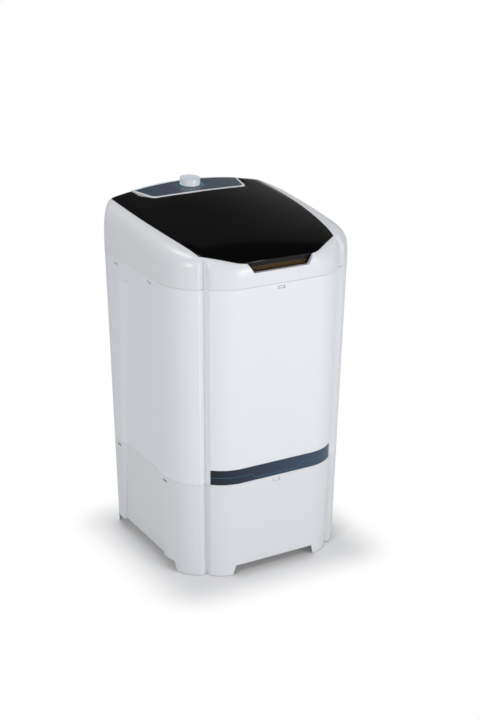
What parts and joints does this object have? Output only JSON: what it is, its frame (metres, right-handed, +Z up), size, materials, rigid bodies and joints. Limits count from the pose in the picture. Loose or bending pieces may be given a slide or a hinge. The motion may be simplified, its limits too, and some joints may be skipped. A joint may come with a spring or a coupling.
{
  "type": "washing_machine",
  "caption": "Compact semi-automatic top-loading washing machine with a white cabinet, a black hinged lid and a timer console",
  "frame": {"origin": "on the floor, under the middle of the cabinet's bounding box", "axes": "+Z up; the front with the band and the finger notch faces -Y; the lid hinges at the rear, about an axis along X"},
  "size_m": [0.4156, 0.3975, 0.7443],
  "materials": {
    "cabinet_white": "glossy injection-moulded white",
    "lid_black": "high-gloss black",
    "smoked_brown": "smoked translucent brown",
    "band_slate": "printed slate film with thin teal lines",
    "panel_slate": "printed slate film under clear coat",
    "knob_white": "pale bluish white, moulded",
    "tub_white": "satin white, moulded",
    "pulsator_blue": "satin light blue, moulded",
    "grey_plastic": "satin grey, moulded",
    "hose_grey": "soft grey hose",
    "wire_sleeve": "dark sleeve over wires",
    "black_rubber": "black rubber",
    "zinc_steel": "zinc-plated steel",
    "sintered_bronze": "oil-filled sintered bronze",
    "can_aluminium": "drawn can",
    "motor_paint": "dark grey enamel",
    "pulley_dark": "dark machined casting"
  },
  "bodies": {
    "cabinet": {"base_shell": "cabinet_white", "body_shell": "cabinet_white", "top_frame": "cabinet_white", "front_band": "band_slate", "rubber_feet": "black_rubber", "rear_cover": "cabinet_white", "rear_cover_screws": "zinc_steel", "console": "cabinet_white", "console_overlay": "panel_slate", "console_screws": "zinc_steel", "timer_body": "grey_plastic", "timer_screws": "zinc_steel", "wash_tub": "tub_white", "tub_seal": "black_rubber", "tub_screws": "zinc_steel", "shaft_seal": "black_rubber", "shaft_bushes": "sintered_bronze", "bearing_housing": "grey_plastic", "housing_bolts": "zinc_steel", "filter_guide": "tub_white", "drain_grille": "grey_plastic", "drain_hose": "hose_grey", "hose_clamps": "zinc_steel", "drain_outlet": "grey_plastic", "chassis_plate": "zinc_steel", "chassis_bolts": "zinc_steel", "drive_belt": "black_rubber", "motor_body": "motor_paint", "motor_mounts": "black_rubber", "motor_bolts": "zinc_steel", "capacitor": "can_aluminium", "capacitor_clamp": "zinc_steel", "cord_gland": "black_rubber", "wiring_harness": "wire_sleeve"},
    "lid": {"lid_panel": "lid_black", "lid_pull": "smoked_brown", "lid_hinge_pins": "zinc_steel", "lid_bumpers": "black_rubber"},
    "knob": {"timer_knob": "knob_white", "timer_shaft": "zinc_steel"},
    "agitator": {"pulsator": "pulsator_blue", "pulsator_screw": "zinc_steel", "drive_shaft": "zinc_steel", "drive_pulley": "pulley_dark", "pulley_nut": "zinc_steel"},
    "rotor": {"motor_shaft": "zinc_steel", "motor_pulley": "pulley_dark", "motor_fan": "grey_plastic"},
    "filter": {"lint_filter": "pulsator_blue"}
  },
  "joints": [
    {"name": "lid_hinge", "type": "hinge", "parent": "cabinet", "child": "lid", "pos_m": [0, 0.1725, 0.7105], "axis": [-1, 0, 0], "range_deg": [0, 95]},
    {"name": "knob_turn", "type": "hinge", "parent": "cabinet", "child": "knob", "pos_m": [-0.0045, 0.162, 0.72838], "axis": [0, 0.0715, -0.9974], "range_deg": [0, 300]},
    {"name": "pulsator_spin", "type": "hinge", "parent": "cabinet", "child": "agitator", "pos_m": [0, -0.038, 0.24], "axis": [0, 0, 1], "continuous": true},
    {"name": "motor_spin", "type": "hinge", "parent": "cabinet", "child": "rotor", "pos_m": [0, 0.115, 0.1], "axis": [0, 0, 1], "continuous": true},
    {"name": "filter_slide", "type": "slide", "parent": "cabinet", "child": "filter", "axis": [0, 0, 1], "range_m": [0, 0.08]}
  ],
  "couplings": [
    {"joint": "motor_spin", "follows": "pulsator_spin", "ratio": 3.9775}
  ]
}
